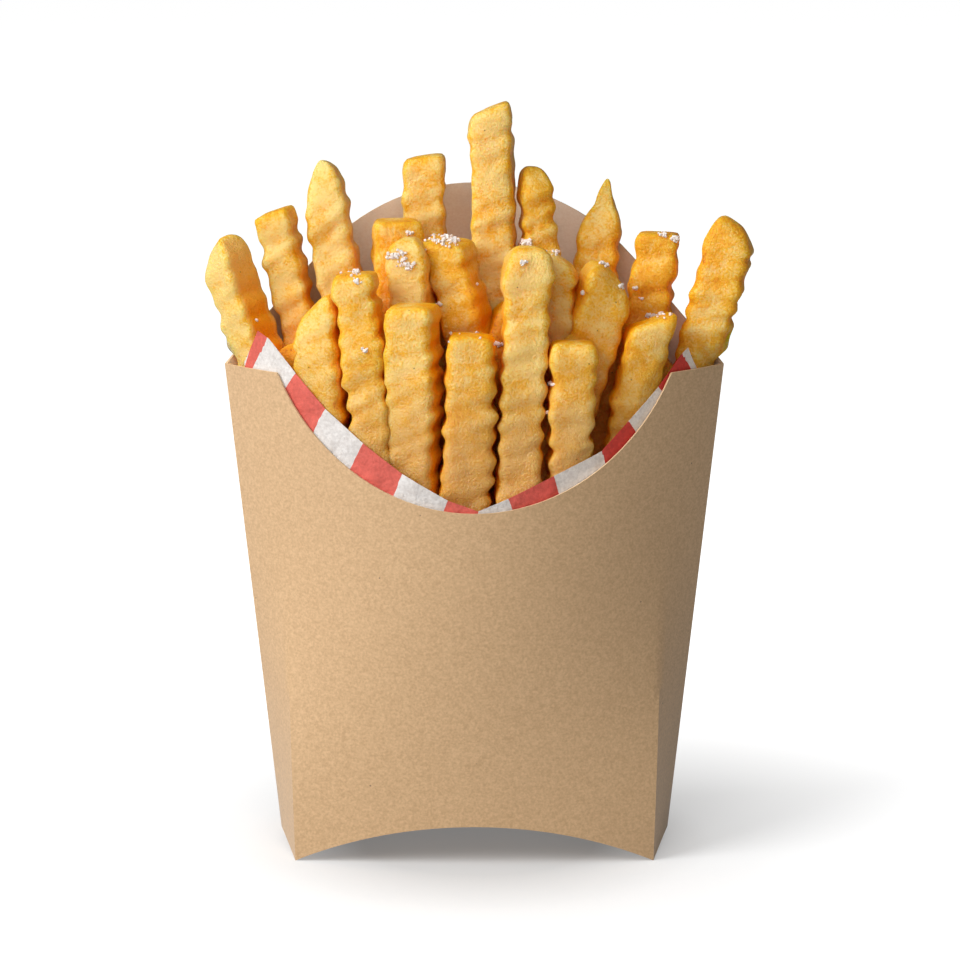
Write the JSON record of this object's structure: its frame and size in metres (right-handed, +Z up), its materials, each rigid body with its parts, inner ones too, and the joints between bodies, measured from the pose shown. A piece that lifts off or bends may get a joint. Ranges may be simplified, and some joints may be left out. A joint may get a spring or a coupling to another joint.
{
  "type": "french fries in a carton",
  "caption": "Crinkle-cut french fries standing in a folded kraft board carton with a scooped front, a domed back, an arched base and a checked paper liner.",
  "frame": {"origin": "on the ground under the middle of the bounding box, fries included; the carton's own middle plane is 0.95 mm towards -X of it", "axes": "+Z up, the scooped front faces -Y, the domed back faces +Y, +X to the right as seen from the front"},
  "size_m": [0.136, 0.054, 0.1874],
  "materials": {
    "kraft": "uncoated brown kraft board, matte, fine fibres, paler cut edges",
    "checked_paper": "thin greaseproof paper printed with a common red and white check, matte",
    "potato": "fried potato, golden with browner ridges and ends, a slight oily sheen, salted"
  },
  "bodies": {
    "root": {"carton": "kraft", "liner": "checked_paper", "fries": "potato"}
  },
  "joints": []
}
